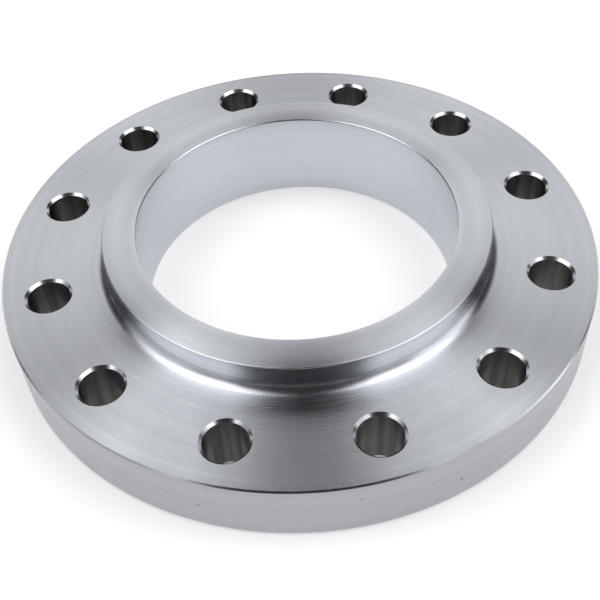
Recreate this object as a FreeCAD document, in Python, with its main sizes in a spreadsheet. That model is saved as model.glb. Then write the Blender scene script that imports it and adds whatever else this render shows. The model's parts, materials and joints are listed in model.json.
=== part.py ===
import FreeCAD, Part
import Sketcher
import math
import os

# Hubbed slip-on pipe flange, NPS 6 (DN 150), Class 300, raised face.
# It is one forging, turned on a lathe and drilled for twelve bolts.
# Frame: the raised gasket face lies on Z = 0 and the hub points up +Z.
# The Z axis is the pipe's axis. The bolt holes straddle the X and Y axes.
# All sizes are in millimetres.

DRIVING_SIZES = [
    ("flange_outside_diameter", 317.5),
    ("flange_thickness", 36.6),
    ("raised_face_diameter", 215.9),
    ("raised_face_height", 1.6),
    ("hub_diameter", 206.4),
    ("length_through_hub", 52.3),
    ("hub_root_radius", 5.0),
    ("bore_diameter", 170.7),
    ("bolt_circle_diameter", 269.9),
    ("bolt_hole_diameter", 22.2),
    ("bolt_hole_count", 12),
    ("bolt_hole_chamfer", 1.4),
    ("rim_chamfer", 0.8),
    ("hub_edge_chamfer", 0.6),
    ("bore_edge_chamfer", 0.8),
]

DERIVED_SIZES = [
    ("flange_radius", "=flange_outside_diameter / 2"),
    ("raised_face_radius", "=raised_face_diameter / 2"),
    ("hub_radius", "=hub_diameter / 2"),
    ("bore_radius", "=bore_diameter / 2"),
    ("hub_height", "=length_through_hub - flange_thickness"),
    ("first_hole_angle", "=180 / bolt_hole_count"),
]

TOUCH = 0.001

# Sketcher's numbers for the sketch's own axis and origin
X_AXIS = -1
ROOT = -1


def make_sheet(doc):
    """The driving dimensions, one aliased cell each, with their names beside them."""
    sheet = doc.addObject("Spreadsheet::Sheet", "Sizes")
    for row, (alias, value) in enumerate(DRIVING_SIZES + DERIVED_SIZES, start=1):
        sheet.set(f"A{row}", alias)
        sheet.set(f"B{row}", str(value))
        sheet.setAlias(f"B{row}", alias)
    doc.recompute()
    return sheet


def origin_plane(body, role):
    """One of the body's own origin planes."""
    return next(f for f in body.Origin.OriginFeatures if f.Role == role)


def flat_sketch(body, name, plane_role):
    sketch = body.newObject("Sketcher::SketchObject", name)
    sketch.AttachmentSupport = [(origin_plane(body, plane_role), "")]
    sketch.MapMode = "FlatFace"
    return sketch


def size_constraint(sketch, kind, where, name, start_value, expression):
    """A sketch dimension that follows a cell of the sheet."""
    index = sketch.addConstraint(Sketcher.Constraint(kind, *where, start_value))
    sketch.renameConstraint(index, name)
    sketch.setExpression(f"Constraints.{name}", expression)


def draw_section(body, sheet):
    """Half of the flange's cross-section, right of the axis, in sketch coordinates (radius, height).

    Its eight straight sides run in order: raised face, step, front face, rim, back face,
    hub wall, hub end and bore.
    """
    sketch = flat_sketch(body, "TurnedSection", "XZ_Plane")
    bore = sheet.bore_radius
    raised = sheet.raised_face_radius
    rim = sheet.flange_radius
    hub = sheet.hub_radius
    corners = [
        (bore, 0.0),
        (raised, 0.0),
        (raised, sheet.raised_face_height),
        (rim, sheet.raised_face_height),
        (rim, sheet.flange_thickness),
        (hub, sheet.flange_thickness),
        (hub, sheet.length_through_hub),
        (bore, sheet.length_through_hub),
    ]
    count = len(corners)
    for side, (radius, height) in enumerate(corners):
        end_radius, end_height = corners[(side + 1) % count]
        start = FreeCAD.Vector(radius, height, 0)
        end = FreeCAD.Vector(end_radius, end_height, 0)
        sketch.addGeometry(Part.LineSegment(start, end), False)
        run = "Horizontal" if side % 2 == 0 else "Vertical"
        sketch.addConstraint(Sketcher.Constraint(run, side))
    for side in range(count):
        following = (side + 1) % count
        sketch.addConstraint(Sketcher.Constraint("Coincident", side, 2, following, 1))
    raised_face, step, front_face, rim_side, back_face, hub_wall, hub_end, bore_wall = range(count)
    sketch.addConstraint(Sketcher.Constraint("PointOnObject", raised_face, 1, X_AXIS))
    from_axis = [
        (raised_face, "bore_radius", bore),
        (step, "raised_face_radius", raised),
        (rim_side, "flange_radius", rim),
        (hub_wall, "hub_radius", hub),
    ]
    for side, alias, value in from_axis:
        size_constraint(sketch, "DistanceX", (ROOT, 1, side, 1), alias, value, f"Sizes.{alias}")
    from_gasket_face = [
        (front_face, "raised_face_height", sheet.raised_face_height),
        (back_face, "flange_thickness", sheet.flange_thickness),
        (hub_end, "length_through_hub", sheet.length_through_hub),
    ]
    for side, alias, value in from_gasket_face:
        size_constraint(sketch, "DistanceY", (ROOT, 1, side, 1), alias, value, f"Sizes.{alias}")
    return sketch


def turn_section(body, sketch):
    turned = body.newObject("PartDesign::Revolution", "TurnedRing")
    turned.Profile = sketch
    turned.ReferenceAxis = (sketch, ["V_Axis"])
    turned.Angle = 360.0
    return turned


def circle_edges(shape, places):
    """Names of the full-circle edges round the Z axis at the given (radius, height) places."""
    names = []
    for number, edge in enumerate(shape.Edges, start=1):
        curve = edge.Curve
        if not isinstance(curve, Part.Circle):
            continue
        on_axis = math.hypot(curve.Center.x, curve.Center.y) < TOUCH
        at_place = any(
            abs(curve.Radius - radius) < TOUCH and abs(curve.Center.z - height) < TOUCH
            for radius, height in places
        )
        if on_axis and at_place:
            names.append(f"Edge{number}")
    if len(names) != len(places):
        raise RuntimeError(f"found {len(names)} of the {len(places)} edges at {places}")
    return names


def round_hub_root(doc, body, base, sheet):
    """The concave radius where the hub meets the back face."""
    root = circle_edges(base.Shape, [(sheet.hub_radius, sheet.flange_thickness)])
    fillet = body.newObject("PartDesign::Fillet", "HubRootRadius")
    fillet.Base = (base, root)
    fillet.Radius = sheet.hub_root_radius
    fillet.setExpression("Radius", "Sizes.hub_root_radius")
    doc.recompute()
    return fillet


def break_edges(doc, body, base, name, alias, size, places):
    """A 45 degree chamfer on round edges of the turned ring."""
    chamfer = body.newObject("PartDesign::Chamfer", name)
    chamfer.Base = (base, circle_edges(base.Shape, places))
    chamfer.Size = size
    chamfer.setExpression("Size", f"Sizes.{alias}")
    doc.recompute()
    return chamfer


def drill_first_hole(doc, body, base, sheet):
    """One bolt hole, drilled right through between the hub and the rim."""
    angle = math.radians(sheet.first_hole_angle)
    circle_radius = sheet.bolt_circle_diameter / 2
    centre = FreeCAD.Vector(circle_radius * math.cos(angle), circle_radius * math.sin(angle), 0)
    sketch = flat_sketch(body, "BoltHoleCentre", "XY_Plane")
    sketch.addGeometry(Part.Circle(centre, FreeCAD.Vector(0, 0, 1), sheet.bolt_hole_diameter / 2), False)
    size_constraint(sketch, "Diameter", (0,), "hole", sheet.bolt_hole_diameter, "Sizes.bolt_hole_diameter")
    across = "Sizes.bolt_circle_diameter / 2 * cos(Sizes.first_hole_angle * 1 deg)"
    along = "Sizes.bolt_circle_diameter / 2 * sin(Sizes.first_hole_angle * 1 deg)"
    size_constraint(sketch, "DistanceX", (ROOT, 1, 0, 3), "across", centre.x, across)
    size_constraint(sketch, "DistanceY", (ROOT, 1, 0, 3), "along", centre.y, along)
    doc.recompute()
    drilled = body.newObject("PartDesign::Pocket", "BoltHole")
    drilled.Profile = sketch
    drilled.Type = "ThroughAll"
    drilled.Reversed = True
    doc.recompute()
    hole_area = math.pi * sheet.bolt_hole_diameter**2 / 4
    depth = sheet.flange_thickness - sheet.raised_face_height
    check_cut(base, drilled, hole_area * depth)
    return drilled


def chamfer_first_hole(doc, body, base, sheet):
    """Both mouths of the bolt hole."""
    mouth_heights = (sheet.raised_face_height, sheet.flange_thickness)
    mouths = []
    for number, edge in enumerate(base.Shape.Edges, start=1):
        curve = edge.Curve
        if not isinstance(curve, Part.Circle):
            continue
        if abs(curve.Radius - sheet.bolt_hole_diameter / 2) > TOUCH:
            continue
        if any(abs(curve.Center.z - height) < TOUCH for height in mouth_heights):
            mouths.append(f"Edge{number}")
    chamfer = body.newObject("PartDesign::Chamfer", "BoltHoleMouths")
    chamfer.Base = (base, mouths)
    chamfer.Size = sheet.bolt_hole_chamfer
    chamfer.setExpression("Size", "Sizes.bolt_hole_chamfer")
    doc.recompute()
    return chamfer


def repeat_round_axis(doc, body, features):
    """The hole and its chamfers, repeated evenly round the bolt circle."""
    pattern = body.newObject("PartDesign::PolarPattern", "BoltCircle")
    pattern.Originals = features
    pattern.Axis = (origin_plane(body, "Z_Axis"), [""])
    pattern.Angle = 360.0
    pattern.setExpression("Occurrences", "Sizes.bolt_hole_count")
    body.Tip = pattern
    doc.recompute()
    return pattern


def check_cut(before, after, expected):
    """Stops unless the cut took away the volume it should have."""
    removed = before.Shape.Volume - after.Shape.Volume
    if abs(removed - expected) > expected * 0.01:
        raise RuntimeError(f"{after.Name} removed {removed:.0f} mm3 and should remove {expected:.0f}")


def make_flange(doc, sheet):
    """The whole forging: turned, filleted, edge-broken, then drilled."""
    body = doc.addObject("PartDesign::Body", "SlipOnFlange")
    body.Label = "slip_on_flange"
    section = draw_section(body, sheet)
    doc.recompute()
    ring = turn_section(body, section)
    doc.recompute()
    rooted = round_hub_root(doc, body, ring, sheet)
    rim_places = [
        (sheet.flange_radius, sheet.raised_face_height),
        (sheet.flange_radius, sheet.flange_thickness),
    ]
    rim = break_edges(
        doc, body, rooted, "RimChamfers", "rim_chamfer", sheet.rim_chamfer, rim_places
    )
    hub_place = [(sheet.hub_radius, sheet.length_through_hub)]
    hub = break_edges(
        doc, body, rim, "HubEdgeChamfer", "hub_edge_chamfer", sheet.hub_edge_chamfer, hub_place
    )
    bore_places = [(sheet.bore_radius, 0.0), (sheet.bore_radius, sheet.length_through_hub)]
    bored = break_edges(
        doc, body, hub, "BoreEdgeChamfers", "bore_edge_chamfer", sheet.bore_edge_chamfer, bore_places
    )
    hole = drill_first_hole(doc, body, bored, sheet)
    mouths = chamfer_first_hole(doc, body, hole, sheet)
    one_hole = bored.Shape.Volume - mouths.Shape.Volume
    pattern = repeat_round_axis(doc, body, [hole, mouths])
    check_cut(bored, pattern, one_hole * sheet.bolt_hole_count)
    return body


def check_document(doc, bodies):
    """Stops if any object failed to compute, or any sub-part isn't one valid solid."""
    for item in doc.Objects:
        if "Invalid" in item.State or "Error" in item.State:
            raise RuntimeError(f"{item.Name} failed: {item.State}")
    for body in bodies:
        shape = body.Shape
        if shape.isNull() or not shape.isValid() or len(shape.Solids) != 1:
            raise RuntimeError(f"{body.Label} isn't one valid solid")


def write_steps(bodies):
    os.makedirs("parts", exist_ok=True)
    for body in bodies:
        body.Shape.exportStep(f"parts/{body.Label}.step")
        box = body.Shape.BoundBox
        size = f"{box.XLength:.2f} x {box.YLength:.2f} x {box.ZLength:.2f} mm"
        print(f"{body.Label}: {size}, {body.Shape.Volume / 1000:.1f} cm3")


doc = FreeCAD.newDocument("SlipOnFlange")
sizes = make_sheet(doc)
bodies = [make_flange(doc, sizes)]
doc.recompute()
check_document(doc, bodies)
write_steps(bodies)
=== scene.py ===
"""A hubbed slip-on pipe flange, turned and drilled from one steel forging, on a pale studio floor."""

import json
import math

import bmesh
import bpy
from mathutils import Matrix, Vector


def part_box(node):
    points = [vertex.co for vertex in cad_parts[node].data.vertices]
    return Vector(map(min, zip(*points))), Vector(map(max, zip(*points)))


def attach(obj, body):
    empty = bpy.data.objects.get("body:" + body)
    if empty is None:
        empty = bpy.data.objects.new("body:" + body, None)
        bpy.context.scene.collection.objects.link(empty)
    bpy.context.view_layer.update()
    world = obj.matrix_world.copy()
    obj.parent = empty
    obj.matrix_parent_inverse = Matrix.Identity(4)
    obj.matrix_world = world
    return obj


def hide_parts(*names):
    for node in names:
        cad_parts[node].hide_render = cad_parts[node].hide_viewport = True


MM = 0.001
NODE = "slip_on_flange"

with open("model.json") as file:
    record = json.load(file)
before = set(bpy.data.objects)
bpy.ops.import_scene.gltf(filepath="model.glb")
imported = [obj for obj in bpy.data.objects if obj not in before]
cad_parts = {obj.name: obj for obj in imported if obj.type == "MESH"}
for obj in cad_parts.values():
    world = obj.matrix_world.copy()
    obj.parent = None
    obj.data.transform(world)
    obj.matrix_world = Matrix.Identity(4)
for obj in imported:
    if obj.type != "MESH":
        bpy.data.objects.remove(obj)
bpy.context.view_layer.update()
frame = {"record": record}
record = frame["record"]
mounts = {mount["name"]: mount for mount in record["mounts"]}

# Sizes that the frame states
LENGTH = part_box(NODE)[1].z
THICKNESS = mounts["nut_face"]["pos_m"][2]
BORE_R = mounts["pipe_bore"]["dims"]["r_mm"] * MM
HOLE_CIRCLE_R = mounts["bolt_circle"]["dims"]["pcd_mm"] / 2 * MM
HOLE_COUNT = mounts["bolt_circle"]["dims"]["count"]
HOLE_R = mounts["bolt_circle"]["dims"]["hole_r_mm"] * MM

# The rest of the turned section, as in the CAD part
OUTSIDE_R = 158.75 * MM
HUB_R = 103.2 * MM
HUB_ROOT = 5.0 * MM
RAISED_R = 107.95 * MM
RAISED_HEIGHT = 1.6 * MM
RIM_CHAMFER = 0.8 * MM
HUB_CHAMFER = 0.6 * MM
BORE_CHAMFER = 0.8 * MM
HOLE_CHAMFER = 1.4 * MM

# Gasket serration: fine concentric grooves, two to the millimetre
GROOVE_PITCH = 0.5 * MM
GROOVE_DEPTH = 0.05 * MM

# Mesh density: each bolt hole owns CELL steps of the circle, and its patch is PATCH of them wide
CELL = 32
PATCH = 16
STEPS = CELL * HOLE_COUNT
PATCH_HALF_WIDTH = 16.5 * MM
PATCH_RINGS = 5
WALL_BANDS = 6
HOLE_BANDS = 4
ROOT_STEPS = 12
CORNER_STEPS = 4
SHARP_ANGLE = math.radians(30)

# The lathe's marks, which are fine rings
MARK_SPACING = 0.35 * MM
MARK_DEPTH = 0.0005 * MM

# Wider variation, as noise cells to the metre: rings of other shades, streaks along a drilled
# hole, and soft clouds. NOISE_LOW and NOISE_HIGH are where most of the noise lies.
BAND_SCALE = 160
STREAK_SCALE = (260, 260, 8)
CLOUD_SCALE = (22, 22, 22)
NOISE_LOW = 0.35
NOISE_HIGH = 0.65
BAND_SHARE = 0.6
MARK_SHARE = 0.5
ROUGHNESS_SPREAD = 0.1

# Dents, not in the mesh but painted shade: dark spots in the colour, at most one to a cell:
# cells to the metre, which cells have one, its solid and whole radius as a share of the cell,
# and the painted shade's brightness as a share of the steel's
PAINTED_DENT_CELLS = (80, 80, 65)
PAINTED_DENT_THRESHOLD = 0.5
PAINTED_DENT_INNER = 0.05
PAINTED_DENT_OUTER = 0.09
PAINTED_DENT_SHADE = 0.5

# One material to each machining operation
FACE, RIM, HUB, BORE, HOLE, EDGE, GASKET = range(7)
BRIGHT = (0.57, 0.59, 0.63)
WHITE = (1, 1, 1, 1)

# The highlight spreads across the marks, a quarter turn from the way that they run
QUARTER_TURN = 0.25

# A Mix node's colour sockets
MIX_A, MIX_B, MIX_RESULT = 6, 7, 2

FLOOR_SIZE = 12
FLOOR_COLOUR = (0.8, 0.8, 0.8, 1)
FLOOR_GLOW = 0.3

# The studio, in degrees round from the camera and up from the horizon. Each pair of soft boxes
# stands to the camera's left and right: how far round, width, bottom, top, then the right box's
# brightness and the left one's. CAMERA_SIDE is the camera's own compass direction, with +X at 0.
CAMERA_SIDE = 270
BOX_PAIRS = {
    "key": (69, 62, 28, 75, 2.4, 2.4),
    "low": (75, 40, -10, 18, 1.9, 0.7),
    "high": (120, 40, 55, 85, 3.5, 3.5),
}
# Opposite the camera: how far round, width, bottom, top, brightness
FAR_BOX = (180, 80, -10, 50, 1.0)
SOFT_EDGE = 15
AMBIENT = 0.02

# The camera: the point it is aimed at, its angles in degrees, its distance in metres and its lens
CAMERA_AIM = Vector((0.0005, -0.046, THICKNESS))
CAMERA_AZIMUTH = 1.5
CAMERA_ELEVATION = 47.0
CAMERA_ROLL = -3.7
CAMERA_DISTANCE = 0.48
CAMERA_LENS = 56.5


def polar(radius, angle, height):
    return Vector((radius * math.cos(angle), radius * math.sin(angle), height))


def between(start, end, count):
    """count + 1 evenly spaced numbers from start to end."""
    return [start + (end - start) * i / count for i in range(count + 1)]


class Lathe:
    """A mesh built from rings round the Z axis, each with one vertex to a step."""

    def __init__(self):
        self.mesh = bmesh.new()

    def ring(self, radius, height):
        turn = 2 * math.pi / STEPS
        return [self.mesh.verts.new(polar(radius, i * turn, height)) for i in range(STEPS)]

    def quad(self, a, b, c, d, material):
        face = self.mesh.faces.new((a, b, c, d))
        face.material_index = material
        face.smooth = True

    def band(self, inner, outer, material, steps=range(STEPS)):
        """Faces between two rings, over the given steps of the circle."""
        for i in steps:
            following = (i + 1) % STEPS
            self.quad(inner[i], inner[following], outer[following], outer[i], material)

    def strip(self, start_ring, stations, material):
        """Bands from a ring through further (radius, height) stations. Returns the last ring."""
        last = start_ring
        for radius, height in stations:
            following = self.ring(radius, height)
            self.band(last, following, material)
            last = following
        return last

    def drilled_band(self, start_ring, start_r, end_r, height, mouths):
        """A flat band with one bolt hole to each cell, from start_r to end_r.

        Adds each hole's mouth, a loop of 4 * PATCH vertices, to mouths. Returns the last ring.
        """
        outward = start_r < end_r
        rings = [start_ring]
        for radius in between(start_r, end_r, PATCH)[1:]:
            rings.append(self.band_ring(radius, height))
        for hole in range(HOLE_COUNT):
            middle = CELL * hole + CELL // 2
            first = middle - PATCH // 2
            plain = [i % STEPS for i in range(first + PATCH, first + CELL)]
            for inner, outer in zip(rings, rings[1:]):
                self.band(inner, outer, FACE, plain)
            columns = [i % STEPS for i in range(first, first + PATCH + 1)]
            square = [rings[0][i] for i in columns[:-1]]
            square += [ring[columns[-1]] for ring in rings[:-1]]
            square += [rings[-1][i] for i in columns[:0:-1]]
            square += [ring[columns[0]] for ring in rings[:0:-1]]
            mouths.append(self.patch(square, hole, height, outward))
        return rings[-1]

    def band_ring(self, radius, height):
        """A ring without the vertices that the bolt-hole patches cover."""
        turn = 2 * math.pi / STEPS
        on_edge = math.isclose(abs(radius - HOLE_CIRCLE_R), PATCH_HALF_WIDTH, rel_tol=1e-6)
        ring = []
        for i in range(STEPS):
            place = i % CELL - CELL // 2
            covered = abs(place) < PATCH // 2 and not on_edge
            ring.append(None if covered else self.mesh.verts.new(polar(radius, i * turn, height)))
        return ring

    def patch(self, square, hole, height, outward):
        """Faces from a square of vertices in to the round mouth of its hole. Returns the mouth.

        The square starts at its inner corner where the band runs outward, else at its outer one.
        """
        centre = hole_centre(hole, height)
        mouth_r = HOLE_R + HOLE_CHAMFER
        count = len(square)
        corner_angle = hole_angle(hole) + math.radians(225 if outward else -45)
        turn = (-1 if outward else 1) * 2 * math.pi / count
        loop = square
        starts = [vertex.co.copy() for vertex in square]
        for level in range(1, PATCH_RINGS + 1):
            share = level / PATCH_RINGS
            inner = []
            for i, start in enumerate(starts):
                on_mouth = centre + polar(mouth_r, corner_angle + i * turn, 0)
                inner.append(self.mesh.verts.new(start.lerp(on_mouth, share)))
            self.join_loops(loop, inner, FACE)
            loop = inner
        return loop

    def join_loops(self, outer, inner, material):
        count = len(outer)
        for i in range(count):
            following = (i + 1) % count
            self.quad(outer[i], outer[following], inner[following], inner[i], material)

    def hole_wall(self, front_mouth, back_mouth, hole):
        """A bolt hole's two chamfers and its drilled wall, between its mouths."""
        count = len(front_mouth)
        centre = hole_centre(hole, 0)
        directions = [(vertex.co - centre).xy.normalized() for vertex in front_mouth]
        heights = between(RAISED_HEIGHT + HOLE_CHAMFER, THICKNESS - HOLE_CHAMFER, HOLE_BANDS)
        loop, material = front_mouth, EDGE
        for height in heights:
            loop_up = []
            for direction in directions:
                offset = Vector((direction.x, direction.y, 0)) * HOLE_R
                loop_up.append(self.mesh.verts.new(centre + offset + Vector((0, 0, height))))
            self.join_loops(loop, loop_up, material)
            loop, material = loop_up, HOLE
        # The back mouth's loop runs the other way round, and starts a quarter turn on
        matched = [back_mouth[(3 * PATCH - i) % count] for i in range(count)]
        self.join_loops(loop, matched, EDGE)

    def finish(self, name):
        bmesh.ops.recalc_face_normals(self.mesh, faces=self.mesh.faces)
        data = bpy.data.meshes.new(name)
        self.mesh.to_mesh(data)
        self.mesh.free()
        data.set_sharp_from_angle(angle=SHARP_ANGLE)
        return data


def hole_angle(hole):
    return 2 * math.pi * (hole + 0.5) / HOLE_COUNT


def hole_centre(hole, height):
    return polar(HOLE_CIRCLE_R, hole_angle(hole), height)


def gasket_stations():
    """The serrated raised face, from the bore's edge out to the plain lip."""
    stations = []
    radius = BORE_R + BORE_CHAMFER + GROOVE_PITCH
    while radius < RAISED_R - 2 * GROOVE_PITCH:
        stations.append((radius + GROOVE_PITCH / 2, GROOVE_DEPTH))
        stations.append((radius + GROOVE_PITCH, 0.0))
        radius += GROOVE_PITCH
    return stations


def rounded(centre_r, centre_z, size, start, end, count=CORNER_STEPS):
    """Stations along an arc in the section, from one angle to another in degrees."""
    angles = [math.radians(a) for a in between(start, end, count)]
    return [(centre_r + size * math.cos(a), centre_z + size * math.sin(a)) for a in angles]


def make_flange_mesh():
    lathe = Lathe()
    patch_in = HOLE_CIRCLE_R - PATCH_HALF_WIDTH
    patch_out = HOLE_CIRCLE_R + PATCH_HALF_WIDTH
    front_mouths, back_mouths = [], []
    first = lathe.ring(BORE_R + BORE_CHAMFER, 0)
    ring = lathe.strip(first, [(BORE_R + BORE_CHAMFER + GROOVE_PITCH, 0)], GASKET)
    ring = lathe.strip(ring, gasket_stations(), GASKET)
    ring = lathe.strip(ring, [(RAISED_R, 0)], GASKET)
    ring = lathe.strip(ring, [(RAISED_R, RAISED_HEIGHT)], EDGE)
    ring = lathe.strip(ring, [(patch_in, RAISED_HEIGHT)], FACE)
    ring = lathe.drilled_band(ring, patch_in, patch_out, RAISED_HEIGHT, front_mouths)
    ring = lathe.strip(ring, [(OUTSIDE_R - RIM_CHAMFER, RAISED_HEIGHT)], FACE)
    ring = lathe.strip(ring, [(OUTSIDE_R, RAISED_HEIGHT + RIM_CHAMFER)], EDGE)
    rim_heights = between(RAISED_HEIGHT + RIM_CHAMFER, THICKNESS - RIM_CHAMFER, WALL_BANDS)[1:]
    ring = lathe.strip(ring, [(OUTSIDE_R, z) for z in rim_heights], RIM)
    ring = lathe.strip(ring, [(OUTSIDE_R - RIM_CHAMFER, THICKNESS)], EDGE)
    ring = lathe.strip(ring, [(patch_out, THICKNESS)], FACE)
    ring = lathe.drilled_band(ring, patch_out, patch_in, THICKNESS, back_mouths)
    root = rounded(HUB_R + HUB_ROOT, THICKNESS + HUB_ROOT, HUB_ROOT, 270, 180, ROOT_STEPS)
    ring = lathe.strip(ring, root, FACE)
    corner = rounded(HUB_R - HUB_CHAMFER, LENGTH - HUB_CHAMFER, HUB_CHAMFER, 0, 90)
    ring = lathe.strip(ring, corner[:1], HUB)
    ring = lathe.strip(ring, corner[1:], EDGE)
    corner = rounded(BORE_R + BORE_CHAMFER, LENGTH - BORE_CHAMFER, BORE_CHAMFER, 90, 180)
    ring = lathe.strip(ring, corner[:1], FACE)
    ring = lathe.strip(ring, corner[1:], EDGE)
    bore_heights = between(LENGTH - BORE_CHAMFER, BORE_CHAMFER, WALL_BANDS)[1:]
    ring = lathe.strip(ring, [(BORE_R, z) for z in bore_heights], BORE)
    lathe.band(ring, first, EDGE)
    for hole in range(HOLE_COUNT):
        lathe.hole_wall(front_mouths[hole], back_mouths[hole], hole)
    return lathe.finish("flange")


class Nodes:
    """A short way to write a node tree."""

    def __init__(self, tree):
        self.tree = tree

    def add(self, kind, **settings):
        node = self.tree.nodes.new(kind)
        for name, value in settings.items():
            setattr(node, name, value)
        return node

    def plug(self, value, socket):
        """Links an output to a socket, or sets the socket to a plain value."""
        if isinstance(value, bpy.types.NodeSocket):
            self.tree.links.new(value, socket)
        else:
            socket.default_value = value

    def math(self, operation, *values):
        node = self.add("ShaderNodeMath", operation=operation)
        for value, socket in zip(values, node.inputs):
            self.plug(value, socket)
        return node.outputs[0]

    def weigh(self, a, b, share):
        """share of a, and the rest of b."""
        return self.math("ADD", self.math("MULTIPLY", a, share), self.math("MULTIPLY", b, 1 - share))

    def fit(self, value, from_low, from_high, to_low, to_high, smooth=False):
        """Maps one range on to another."""
        kind = "SMOOTHSTEP" if smooth else "LINEAR"
        node = self.add("ShaderNodeMapRange", interpolation_type=kind)
        for given, socket in zip((value, from_low, from_high, to_low, to_high), node.inputs):
            self.plug(given, socket)
        return node.outputs[0]

    def soft_step(self, value, edge, falling=False):
        """0 below an edge and 1 above it, or the other way round, softened over SOFT_EDGE degrees."""
        ends = (1, 0) if falling else (0, 1)
        return self.fit(value, edge - SOFT_EDGE / 2, edge + SOFT_EDGE / 2, *ends, smooth=True)

    def noise(self, vector=None, along=None, scale=1.0, detail=2.0):
        """Noise in space, or along one number."""
        node = self.add("ShaderNodeTexNoise", noise_dimensions="3D" if along is None else "1D")
        if along is None:
            self.plug(vector, node.inputs["Vector"])
        else:
            self.plug(along, node.inputs["W"])
        node.inputs["Scale"].default_value = scale
        node.inputs["Detail"].default_value = detail
        return node.outputs["Fac"]

    def mix(self, share, a, b):
        """Colour a where share is 0, and b where it is 1."""
        node = self.add("ShaderNodeMix", data_type="RGBA")
        self.plug(share, node.inputs["Factor"])
        self.plug(a, node.inputs[MIX_A])
        self.plug(b, node.inputs[MIX_B])
        return node.outputs[MIX_RESULT]

    def place(self, scale):
        """The position on the object, stretched by scale."""
        where = self.add("ShaderNodeTexCoord").outputs["Object"]
        node = self.add("ShaderNodeVectorMath", operation="MULTIPLY")
        self.plug(where, node.inputs[0])
        node.inputs[1].default_value = scale
        return node.outputs[0]

    def round_the_axis(self, hole):
        """The direction in which the tool ran: round the flange's axis, or round a bolt hole's."""
        if not hole:
            return self.add("ShaderNodeTangent", direction_type="RADIAL", axis="Z").outputs["Tangent"]
        node = self.add("ShaderNodeVectorMath", operation="CROSS_PRODUCT")
        node.inputs[0].default_value = (0, 0, 1)
        self.plug(self.add("ShaderNodeNewGeometry").outputs["Normal"], node.inputs[1])
        return node.outputs[0]

    def painted_dent_shade(self):
        """Painted shade of small dents: 1 on a few small scattered spots, a little taller than they
        are wide, and 0 elsewhere.
        """
        cells = self.add("ShaderNodeTexVoronoi")
        self.plug(self.place(PAINTED_DENT_CELLS), cells.inputs["Vector"])
        cells.inputs["Scale"].default_value = 1.0
        chosen = self.math("GREATER_THAN", cells.outputs["Color"], PAINTED_DENT_THRESHOLD)
        near = self.fit(cells.outputs["Distance"], PAINTED_DENT_INNER, PAINTED_DENT_OUTER, 1, 0)
        return self.math("MULTIPLY", chosen, near)

    def radius_and_height(self):
        """The distance from the flange's axis, and the height."""
        split = self.add("ShaderNodeSeparateXYZ")
        self.plug(self.place((1, 1, 1)), split.inputs[0])
        x, y, z = split.outputs
        squared = self.math("ADD", self.math("MULTIPLY", x, x), self.math("MULTIPLY", y, y))
        return self.math("SQRT", squared), z


def steel(name, colour, roughness, anisotropic, turned="face", contrast=0.05, painted_dents=False):
    """Bare machined steel. turned says which way the tool's marks run.

    face: rings on a flat face. wall: rings up a round wall. drilled: rings and streaks in a hole.
    contrast is how far the colour wanders, as a share of it. dented adds a few dark spots of painted
    shade, standing in for dents.
    """
    material = bpy.data.materials.new(name)
    material.use_nodes = True
    nodes = Nodes(material.node_tree)
    shader = material.node_tree.nodes["Principled BSDF"]
    shader.inputs["Metallic"].default_value = 1.0
    shader.inputs["Anisotropic"].default_value = anisotropic
    shader.inputs["Anisotropic Rotation"].default_value = QUARTER_TURN
    radius, height = nodes.radius_and_height()
    across = radius if turned == "face" else height
    marks = nodes.noise(along=across, scale=1 / MARK_SPACING)
    if turned == "drilled":
        bands = nodes.noise(vector=nodes.place(STREAK_SCALE), detail=1)
    else:
        bands = nodes.noise(along=across, scale=BAND_SCALE, detail=3)
    clouds = nodes.noise(vector=nodes.place(CLOUD_SCALE), detail=3)
    shade = nodes.weigh(bands, clouds, BAND_SHARE)
    light = [c * (1 + contrast) for c in colour] + [1]
    dark = [c * (1 - contrast) for c in colour] + [1]
    tint = nodes.mix(nodes.fit(shade, NOISE_LOW, NOISE_HIGH, 0, 1), dark, light)
    # Dark spots of painted shade, standing in for dents
    if painted_dents:
        tint = nodes.mix(nodes.painted_dent_shade(), tint, [c * PAINTED_DENT_SHADE for c in colour] + [1])
    nodes.plug(tint, shader.inputs["Base Color"])
    wear = nodes.weigh(marks, clouds, MARK_SHARE)
    smoothest, roughest = roughness * (1 - ROUGHNESS_SPREAD), roughness * (1 + ROUGHNESS_SPREAD)
    rough = nodes.fit(wear, NOISE_LOW, NOISE_HIGH, smoothest, roughest)
    nodes.plug(rough, shader.inputs["Roughness"])
    bump = nodes.add("ShaderNodeBump")
    bump.inputs["Strength"].default_value = 1.0
    bump.inputs["Distance"].default_value = MARK_DEPTH
    nodes.plug(marks, bump.inputs["Height"])
    nodes.plug(bump.outputs["Normal"], shader.inputs["Normal"])
    nodes.plug(nodes.round_the_axis(turned == "drilled"), shader.inputs["Tangent"])
    return material


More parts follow.
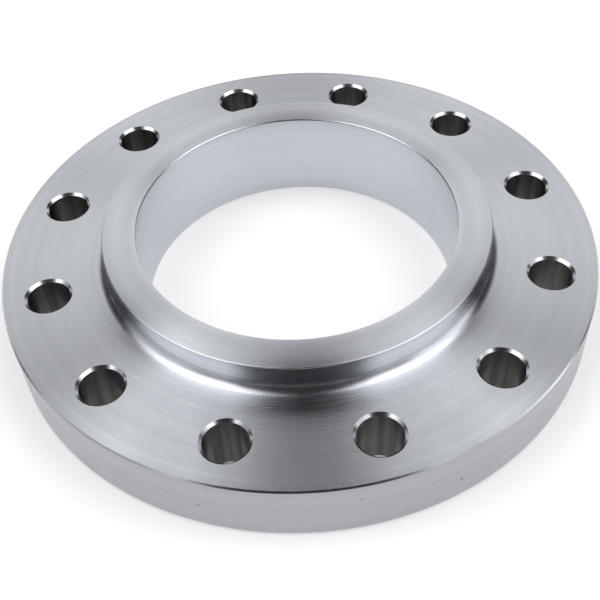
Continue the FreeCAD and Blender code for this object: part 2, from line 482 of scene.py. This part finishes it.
def make_flange():
    data = make_flange_mesh()
    flange = bpy.data.objects.new("flange", data)
    bpy.context.scene.collection.objects.link(flange)
    finishes = {
        FACE: steel("faced_steel", BRIGHT, roughness=0.25, anisotropic=1.0),
        # The rim's colour is darker than the face's: painted shade, standing in for the darker floor
        # that the rim reflects
        RIM: steel("turned_rim_steel_painted_shade", (0.43, 0.44, 0.475), roughness=0.32, anisotropic=0.8,
                   turned="wall", contrast=0.07, painted_dents=True),
        HUB: steel("turned_hub_steel", (0.5, 0.515, 0.54), roughness=0.18, anisotropic=0.9,
                   turned="wall"),
        BORE: steel("bored_steel", (0.59, 0.615, 0.66), roughness=0.3, anisotropic=0.8,
                    turned="wall", contrast=0.03),
        # The drilled walls are far darker than the other steel: painted shade for the inside of the
        # holes
        HOLE: steel("drilled_steel_painted_shade", (0.2, 0.195, 0.19), roughness=0.35, anisotropic=0.8,
                    turned="drilled", contrast=0.5),
        EDGE: steel("chamfered_steel", BRIGHT, roughness=0.22, anisotropic=0.3),
        GASKET: steel("serrated_steel", BRIGHT, roughness=0.38, anisotropic=0.5),
    }
    for index in sorted(finishes):
        data.materials.append(finishes[index])
    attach(flange, "root")
    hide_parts(NODE)


def make_floor():
    """A plain pale floor that glows a little, so that the shadow on it is faint."""
    bpy.ops.mesh.primitive_plane_add(size=FLOOR_SIZE, location=(0, 0, 0))
    floor = bpy.context.object
    floor.name = "floor"
    material = bpy.data.materials.new("pale_floor")
    material.use_nodes = True
    shader = material.node_tree.nodes["Principled BSDF"]
    shader.inputs["Base Color"].default_value = FLOOR_COLOUR
    shader.inputs["Roughness"].default_value = 1.0
    shader.inputs["Specular IOR Level"].default_value = 0.0
    shader.inputs["Emission Color"].default_value = WHITE
    shader.inputs["Emission Strength"].default_value = FLOOR_GLOW
    floor.data.materials.append(material)


def soft_boxes():
    """Every box as compass direction, width, bottom, top and brightness."""
    boxes = [(CAMERA_SIDE + FAR_BOX[0], *FAR_BOX[1:])]
    for around, width, bottom, top, right, left in BOX_PAIRS.values():
        boxes.append((CAMERA_SIDE + around, width, bottom, top, right))
        boxes.append((CAMERA_SIDE - around, width, bottom, top, left))
    return boxes


def make_studio():
    """Soft boxes round the object, as the metal sees them, in front of a plain white backdrop."""
    world = bpy.data.worlds.new("studio")
    bpy.context.scene.world = world
    world.use_nodes = True
    nodes = Nodes(world.node_tree)
    split = nodes.add("ShaderNodeSeparateXYZ")
    nodes.plug(nodes.add("ShaderNodeTexCoord").outputs["Generated"], split.inputs[0])
    x, y, z = split.outputs
    compass = nodes.math("DEGREES", nodes.math("ARCTAN2", y, x))
    height = nodes.math("DEGREES", nodes.math("ARCSINE", z))
    light = AMBIENT
    for middle, width, bottom, top, bright in soft_boxes():
        turned = nodes.math("WRAP", nodes.math("SUBTRACT", compass, middle), 180, -180)
        across = nodes.soft_step(nodes.math("ABSOLUTE", turned), width / 2, falling=True)
        above = nodes.soft_step(height, bottom)
        below = nodes.soft_step(height, top, falling=True)
        box = nodes.math("MULTIPLY", nodes.math("MULTIPLY", across, above), below)
        light = nodes.math("MULTIPLY_ADD", box, bright, light)
    # The camera itself sees plain white
    seen = nodes.add("ShaderNodeLightPath").outputs["Is Camera Ray"]
    light = nodes.fit(seen, 0, 1, light, 1)
    background = world.node_tree.nodes["Background"]
    background.inputs["Color"].default_value = WHITE
    nodes.plug(light, background.inputs["Strength"])


def make_camera():
    """Looks down over the flange's front edge."""
    azimuth = math.radians(CAMERA_AZIMUTH)
    elevation = math.radians(CAMERA_ELEVATION)
    back = Vector((math.sin(azimuth) * math.cos(elevation), -math.cos(azimuth) * math.cos(elevation),
                   math.sin(elevation)))
    data = bpy.data.cameras.new("camera")
    data.lens = CAMERA_LENS
    camera = bpy.data.objects.new("camera", data)
    bpy.context.scene.collection.objects.link(camera)
    upright = (-back).to_track_quat("-Z", "Y").to_matrix().to_4x4()
    place = Matrix.Translation(CAMERA_AIM + back * CAMERA_DISTANCE)
    rolled = Matrix.Rotation(math.radians(CAMERA_ROLL), 4, "Z")
    camera.matrix_world = place @ upright @ rolled
    bpy.context.scene.camera = camera


make_camera()
make_flange()
make_floor()
make_studio()
bpy.context.scene.view_settings.view_transform = "Standard"
